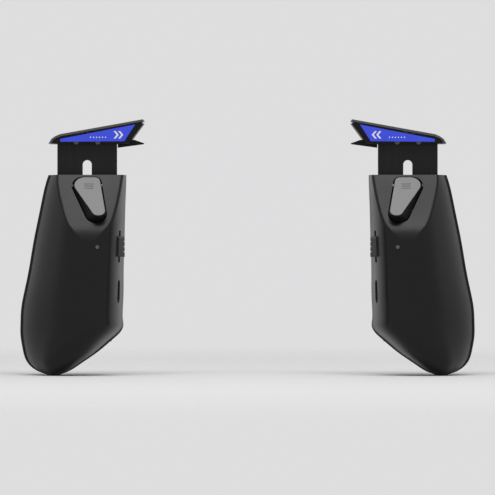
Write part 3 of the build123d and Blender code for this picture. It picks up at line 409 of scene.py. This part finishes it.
def badge_finish():
    """Smooth coloured insert under a thin clear coat, with fine metallic fleck."""
    finish = Finish("badge_insert_blue")
    fleck = finish.cells(BADGE_FLECKS).step(0.05, 0.5)
    cloud = finish.noise(BADGE_CLOUDS)
    base = finish.mix(cloud, (0.030, 0.060, 0.76, 1), (0.044, 0.078, 0.86, 1))
    return finish.close(
        Base_Color=finish.mix(fleck * 0.2, base, (0.12, 0.17, 0.9, 1)),
        Roughness=0.3 + cloud * 0.08,
        Specular_IOR_Level=0.3,
        Coat_Weight=0.08,
        Coat_Roughness=0.12,
        Normal=finish.bump(fleck, strength=0.05, distance=30 * MICRON),
    )


def rubber_finish():
    """Matt silicone with fine grain."""
    finish = Finish("silicone_rubber")
    grain = finish.noise(RUBBER_GRAIN, detail=4.0, roughness=0.7)
    dust = finish.noise(RUBBER_DUST, detail=4.0, roughness=0.7).step(0.55, 0.85)
    return finish.close(
        Base_Color=finish.mix(dust, grey(0.022), grey(0.034)),
        Roughness=0.72 + dust * 0.12,
        Specular_IOR_Level=0.35,
        Normal=finish.bump(grain, strength=0.25, distance=80 * MICRON),
    )


def touch_rubber_finish():
    """Conductive silicone: greyer, with tiny grains."""
    finish = Finish("conductive_silicone")
    grain = finish.cells(SILICONE_GRAINS)
    return finish.close(
        Base_Color=finish.mix(grain, grey(0.07), grey(0.045)),
        Roughness=0.6 + grain * 0.1,
        Normal=finish.bump(grain, strength=0.2, distance=50 * MICRON),
    )


def pin_steel_finish():
    """Turned steel with fine scratches along its length."""
    finish = Finish("pin_steel")
    scratches = finish.noise(STEEL_SCRATCHES, detail=3.0, roughness=0.6, stretch=ALONG_X)
    tint = finish.noise(STEEL_TINT)
    return finish.close(
        Base_Color=finish.mix(tint, grey(0.4675), grey(0.605)),
        Metallic=1.0,
        Roughness=0.2 + scratches * 0.12,
        Normal=finish.bump(scratches, strength=0.1, distance=30 * MICRON),
    )


def spring_steel_finish():
    """Spring wire with painted shade: dark lines at the pitch of its turns, where the creases between
    turns fall in shade.
    """
    finish = Finish("spring_wire")
    _, _, z = finish.axes()
    turn_relief_and_painted_shade = z.repeat(TURN_PITCH) / (TURN_PITCH / 2)
    return finish.close(
        # Dark grey painted at each turn's crease: painted shade between the turns
        Base_Color=finish.mix(turn_relief_and_painted_shade, grey(0.12), grey(0.5)),
        Metallic=1.0,
        Roughness=0.28,
        Normal=finish.bump(turn_relief_and_painted_shade, strength=0.8, distance=100 * MICRON),
    )


def screw_finish():
    """Black zinc with bright worn patches."""
    finish = Finish("screw_black_zinc")
    wear = finish.noise(SCREW_WEAR, detail=3.0, roughness=0.7).step(0.6, 0.75)
    return finish.close(
        Base_Color=finish.mix(wear, grey(0.10), grey(0.32)),
        Metallic=1.0,
        Roughness=0.34 - wear * 0.08,
        Normal=finish.bump(wear, strength=0.1, distance=30 * MICRON),
    )


def socket_finish():
    """Bright stamped shell of the charging socket, brushed along its depth."""
    finish = Finish("socket_shell_steel")
    brushed = finish.noise(SOCKET_BRUSHING, stretch=ALONG_Y)
    return finish.close(
        Base_Color=finish.mix(brushed, grey(0.45), grey(0.65)),
        Metallic=1.0,
        Roughness=0.22 + brushed * 0.12,
        Normal=finish.bump(brushed, strength=0.06, distance=30 * MICRON),
    )


def board_finish():
    """Solder mask with traces and bright pads."""
    finish = Finish("circuit_board_mask")
    x, _, z = finish.axes()
    traces = (x + z * TRACE_SLOPE).repeat(TRACE_PITCH).step(TRACE_WIDTH / 2, TRACE_WIDTH)
    pads = 1 - finish.cells(BOARD_PADS).step(0.16, 0.2)
    mask = finish.mix(traces, (0.02, 0.12, 0.05, 1), (0.012, 0.075, 0.032, 1))
    return finish.close(
        Base_Color=finish.mix(pads, mask, (0.62, 0.55, 0.36, 1)),
        Roughness=0.4 - pads * 0.12,
        Metallic=pads * 0.9,
        Normal=finish.bump(traces + pads * 0.4, strength=0.2, distance=50 * MICRON),
    )


def cell_finish():
    """Foil pouch of the battery, softly wrinkled."""
    finish = Finish("battery_pouch_foil")
    wrinkles = finish.noise(POUCH_WRINKLES, detail=4.0, roughness=0.6)
    return finish.close(
        Base_Color=finish.mix(wrinkles, grey(0.5), grey(0.66)),
        Metallic=0.85,
        Roughness=0.32 + wrinkles * 0.1,
        Normal=finish.bump(wrinkles, strength=0.35, distance=400 * MICRON),
    )


def lens_finish():
    """Smoky light pipe, unlit."""
    finish = Finish("indicator_light_pipe")
    milk = finish.noise(LENS_MILK, detail=3.0)
    return finish.close(
        Base_Color=finish.mix(milk, grey(0.06), grey(0.1)),
        Roughness=0.22 + milk * 0.08,
        Coat_Weight=0.3,
        Coat_Roughness=0.05,
        Normal=finish.bump(milk, strength=0.05, distance=30 * MICRON),
    )


def print_finish():
    """White pad print."""
    finish = Finish("white_pad_print")
    speckle = finish.noise(PRINT_SPECKLES, detail=3.0, roughness=0.7)
    return finish.close(
        Base_Color=finish.mix(speckle, grey(0.82), grey(0.93)),
        Roughness=0.45 + speckle * 0.1,
        Normal=finish.bump(speckle, strength=0.1, distance=20 * MICRON),
    )


# The finish of each of the record's material slots
FINISHES = {
    "shell": shell_finish,
    "rubber": rubber_finish,
    "guide_plastic": guide_finish,
    "steel": pin_steel_finish,
    "spring_steel": spring_steel_finish,
    "circuit_board": board_finish,
    "cell_pouch": cell_finish,
    "socket_metal": socket_finish,
    "switch_body": switch_finish,
    "clear_lens": lens_finish,
    "screw_steel": screw_finish,
    "plate": plate_finish,
    "head_plastic": head_finish,
    "badge": badge_finish,
    "conductive_rubber": touch_rubber_finish,
    "trigger": trigger_painted_highlight_finish,
    "knob": knob_finish,
    "cap": cap_finish,
}


# Studio


def aim(thing, target):
    thing.rotation_euler = (Vector(target) - thing.location).to_track_quat("-Z", "Y").to_euler()


def make_camera():
    data = bpy.data.cameras.new("camera")
    data.sensor_width = SENSOR_WIDTH
    data.lens = SENSOR_WIDTH * CAMERA_DISTANCE / FIELD_WIDTH
    data.clip_start = CAMERA_NEAR
    camera = bpy.data.objects.new("camera", data)
    bpy.context.scene.collection.objects.link(camera)
    camera.location = (0, -CAMERA_DISTANCE, VIEW_HEIGHT)
    aim(camera, (0, 0, VIEW_HEIGHT))
    bpy.context.scene.camera = camera


def make_softboxes():
    for number, (place, width, height, watts) in enumerate(SOFTBOXES):
        light = bpy.data.lights.new(f"softbox_{number}", "AREA")
        light.shape = "RECTANGLE"
        light.size = width
        light.size_y = height
        light.energy = watts
        lamp = bpy.data.objects.new(f"softbox_{number}", light)
        bpy.context.scene.collection.objects.link(lamp)
        lamp.location = place
        lamp.visible_camera = False
        aim(lamp, (0, 0, VIEW_HEIGHT))


def make_world():
    """Even light on the grips, and the pale backdrop for eyes, mirrors and glass."""
    studio = Finish("studio", bpy.data.worlds)
    bpy.context.scene.world = studio.block
    rays = studio.add("ShaderNodeLightPath")
    straight = studio.value(rays.outputs["Is Camera Ray"])
    mirrored = studio.value(rays.outputs["Is Glossy Ray"])
    through = studio.value(rays.outputs["Is Transmission Ray"])
    ambient = studio.add(
        "ShaderNodeBackground", None, {"Color": AMBIENT_COLOUR, "Strength": AMBIENT_STRENGTH}
    )
    backdrop = studio.add("ShaderNodeBackground", None, {"Color": BACKDROP_COLOUR})
    seen = straight.larger(mirrored).larger(through)
    whole = studio.add(
        "ShaderNodeMixShader", None, {0: seen, 1: ambient.outputs[0], 2: backdrop.outputs[0]}
    )
    studio.add("ShaderNodeOutputWorld", None, {"Surface": whole.outputs[0]})


def make_floor():
    """A wide pale floor that fades into the backdrop away from the grips."""
    finish = Finish("studio_floor")
    x, y, _ = finish.axes()
    distance = (x * x + y * y) ** 0.5
    fade = distance.step(FADE_START, FADE_END)
    look = {
        "Base Color": FLOOR_COLOUR,
        "Roughness": FLOOR_ROUGHNESS,
        "Specular IOR Level": FLOOR_SPECULAR,
    }
    surface = finish.add("ShaderNodeBsdfPrincipled", None, look)
    clear = finish.add("ShaderNodeBsdfTransparent")
    mixed = finish.add(
        "ShaderNodeMixShader", None, {0: fade, 1: surface.outputs[0], 2: clear.outputs[0]}
    )
    finish.add("ShaderNodeOutputMaterial", None, {"Surface": mixed.outputs[0]})
    mesh = bpy.data.meshes.new("studio_floor")
    half = FLOOR_SIZE / 2
    corners = [(-half, -half, 0), (half, -half, 0), (half, half, 0), (-half, half, 0)]
    mesh.from_pydata(corners, [], [(0, 1, 2, 3)])
    mesh.materials.append(finish.block)
    floor = bpy.data.objects.new("studio_floor", mesh)
    bpy.context.scene.collection.objects.link(floor)


# Pieces


def new_piece(name, mesh_builder, material, body=None):
    """An object from a filled bmesh, riding on a body where one is named."""
    mesh = bpy.data.meshes.new(name)
    mesh_builder.normal_update()
    mesh_builder.to_mesh(mesh)
    mesh_builder.free()
    mesh.materials.append(material)
    piece = bpy.data.objects.new(name, mesh)
    bpy.context.scene.collection.objects.link(piece)
    if body:
        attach(piece, body)
    return piece


def add_prism(builder, outline, low, high, lay):
    """A closed prism: outline in the plane, low to high out of it; lay turns (u, v, w) to a point.
    Returns the corners of its outer face."""
    foot = [builder.verts.new(lay(u, v, low)) for u, v in outline]
    head = [builder.verts.new(lay(u, v, high)) for u, v in outline]
    count = len(outline)
    builder.faces.new(foot)
    builder.faces.new(list(reversed(head)))
    for i in range(count):
        j = (i + 1) % count
        builder.faces.new((foot[j], foot[i], head[i], head[j]))
    return head


def soften(builder, head, width):
    """Rounds the edges round a prism's outer face."""
    ring = set(head)
    edges = [e for e in builder.edges if e.verts[0] in ring and e.verts[1] in ring]
    bmesh.ops.bevel(builder, geom=edges, offset=width, segments=2, profile=0.5, affect="EDGES")


def rounded_rectangle(u0, u1, v0, v1, corner, steps=6):
    """An outline with a round at each corner, in so many steps."""
    points = []
    centres = ((u1 - corner, v0 + corner, -90), (u1 - corner, v1 - corner, 0),
               (u0 + corner, v1 - corner, 90), (u0 + corner, v0 + corner, 180))
    for u, v, start in centres:
        for i in range(steps + 1):
            angle = math.radians(start + 90 * i / steps)
            points.append((u + corner * math.cos(angle), v + corner * math.sin(angle)))
    return points


def ring_points(u, v, radius, steps=20):
    """A round outline."""
    turn = 2 * math.pi / steps
    return [(u + radius * math.cos(i * turn), v + radius * math.sin(i * turn)) for i in range(steps)]


def make_badge_print(hand, side, material):
    """Two white chevrons and a row of dots on the badge."""
    low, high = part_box(f"{hand}_badge")
    inner_end = min(abs(low.x), abs(high.x))
    middle = low.z + CHEVRON_RISE
    foot = middle - CHEVRON_HEIGHT / 2
    top = middle + CHEVRON_HEIGHT / 2
    builder = bmesh.new()

    def lay(u, v, w):
        return (side * u, low.y - w, v)

    for i in range(CHEVRON_COUNT):
        u = inner_end + CHEVRON_INSET + i * CHEVRON_PITCH
        outer = u + CHEVRON_STROKE
        chevron = [
            (u, foot), (outer, foot), (outer - CHEVRON_POINT, middle),
            (outer, top), (u, top), (u - CHEVRON_POINT, middle),
        ]
        add_prism(builder, chevron, -PRINT_SUNK, PRINT_PROUD, lay)
    for i in range(DOT_COUNT):
        u = inner_end + DOT_INSET + i * DOT_PITCH
        dot = ring_points(u, foot + DOT_SIZE, DOT_SIZE / 2)
        add_prism(builder, dot, -PRINT_SUNK, PRINT_PROUD, lay)
    bmesh.ops.recalc_face_normals(builder, faces=builder.faces)
    new_piece(f"{hand}_badge_print", builder, material, f"{hand}_clamp")


def make_trigger_bars(hand, side, material):
    """Raised bars that the finger feels on the trigger's face."""
    trigger = nodes[f"{hand}_back_trigger"].data
    reach = max(corner.co.dot(TRIGGER_NORMAL) for corner in trigger.vertices)
    low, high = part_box(f"{hand}_back_trigger")
    x = (low.x + high.x) / 2 + side * BAR_OUTSET
    z = high.z - BAR_DROP
    y = (reach - TRIGGER_NORMAL.z * z) / TRIGGER_NORMAL.y
    centre = Vector((x, y, z))
    builder = bmesh.new()

    def lay(u, v, w):
        return centre + Vector((u, 0, 0)) + TRIGGER_UPWARD * v + TRIGGER_NORMAL * w

    end = BAR_LENGTH / 2
    half = BAR_WIDTH / 2
    for i in range(BAR_COUNT):
        v = (i - (BAR_COUNT - 1) / 2) * BAR_PITCH
        bar = rounded_rectangle(-end, end, v - half, v + half, half)
        head = add_prism(builder, bar, -BAR_PROUD, BAR_PROUD, lay)
        soften(builder, head, BAR_PROUD / 2)
    bmesh.ops.recalc_face_normals(builder, faces=builder.faces)
    bars = new_piece(f"{hand}_trigger_bars", builder, material, f"{hand}_back_trigger")


def make_ribbed_pad(hand, node, body, axes, material):
    """A moulded rubber pad with rounded ribs in place of the plain one."""
    low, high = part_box(f"{hand}_{node}")
    across, along, outward, sign = axes
    face = high[outward] if sign > 0 else low[outward]
    back = low[outward] if sign > 0 else high[outward]

    def lay(u, v, w):
        point = [0, 0, 0]
        point[across], point[along], point[outward] = u, v, w
        return point

    builder = bmesh.new()
    corner = min(PAD_CORNER, (high[along] - low[along]) * PAD_CORNER_MOST_SHARE)
    body_top = face - sign * RIB_RISE
    slab = rounded_rectangle(low[across], high[across], low[along], high[along], corner)
    head = add_prism(builder, slab, back, body_top, lay)
    soften(builder, head, RIB_BEVEL)
    room = high[along] - low[along] - 2 * RIB_MARGIN
    count = max(RIB_LEAST_COUNT, int(room / RIB_PITCH))
    pitch = room / count
    half = RIB_WIDTH / 2
    for i in range(count):
        middle = low[along] + RIB_MARGIN + pitch * (i + 0.5)
        rib = rounded_rectangle(
            low[across] + RIB_MARGIN, high[across] - RIB_MARGIN,
            middle - half, middle + half, RIB_WIDTH * RIB_ROUND_SHARE,
        )
        head = add_prism(builder, rib, body_top - sign * RIB_RISE, face, lay)
        soften(builder, head, RIB_BEVEL)
    bmesh.ops.recalc_face_normals(builder, faces=builder.faces)
    pad = new_piece(f"{hand}_{node}_ribbed", builder, material, f"{hand}_{body}")
    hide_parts(f"{hand}_{node}")


def add_tube(builder, path, radius, sides):
    """A closed round wire along points."""
    rings = []
    count = len(path)
    for i, point in enumerate(path):
        ahead = path[min(i + 1, count - 1)]
        behind = path[max(i - 1, 0)]
        forward = (ahead - behind).normalized()
        across = forward.cross(Vector((0, 0, 1))).normalized()
        up = across.cross(forward)
        ring = []
        for j in range(sides):
            turn = 2 * math.pi * j / sides
            spoke = across * math.cos(turn) + up * math.sin(turn)
            ring.append(builder.verts.new(point + radius * spoke))
        rings.append(ring)
    for first, second in zip(rings, rings[1:]):
        for j in range(sides):
            k = (j + 1) % sides
            builder.faces.new((first[j], first[k], second[k], second[j])).smooth = True
    builder.faces.new(list(reversed(rings[0])))
    builder.faces.new(rings[-1])


def make_spring_coils(hand, material):
    """Wound springs in place of the plain spring solids."""
    low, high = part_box(f"{hand}_clamp_springs")
    reach = (high.y - low.y) / 2
    middle_y = (low.y + high.y) / 2
    foot = low.z + SPRING_WIRE
    rise = high.z - low.z - 2 * SPRING_WIRE
    winding = reach - SPRING_WIRE
    count = SPRING_TURNS * SPRING_STEPS
    builder = bmesh.new()
    for middle_x in (low.x + reach, high.x - reach):
        path = []
        for i in range(count + 1):
            turn = 2 * math.pi * i / SPRING_STEPS
            x = middle_x + winding * math.cos(turn)
            y = middle_y + winding * math.sin(turn)
            path.append(Vector((x, y, foot + rise * i / count)))
        add_tube(builder, path, SPRING_WIRE, WIRE_SIDES)
    bmesh.ops.recalc_face_normals(builder, faces=builder.faces)
    coils = new_piece(f"{hand}_spring_coils", builder, material)
    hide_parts(f"{hand}_clamp_springs")
    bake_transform(coils)


# Both grips dressed


def dress_nodes():
    """Gives each CAD node the finish of its slot and returns the finishes."""
    made = {}
    for row in frame["record"]["subparts"]:
        slot = row["material_slot"]
        if slot not in made:
            made[slot] = FINISHES[slot]()
        node = nodes[row["node"]]
        node.data.materials.clear()
        node.data.materials.append(made[slot])
    return made


def make_pieces(finishes):
    """The pieces that the visual model adds to each grip, or puts in place of its plain solids."""
    white = print_finish()
    for hand, side in SIDES:
        make_badge_print(hand, side, white)
        make_trigger_bars(hand, side, finishes["trigger"])
        make_spring_coils(hand, finishes["spring_steel"])
        for node, body, axes in PADS:
            make_ribbed_pad(hand, node, body, axes, finishes["rubber"])


make_camera()
make_world()
make_softboxes()
make_floor()
make_pieces(dress_nodes())

bpy.context.scene.view_settings.view_transform = "Standard"
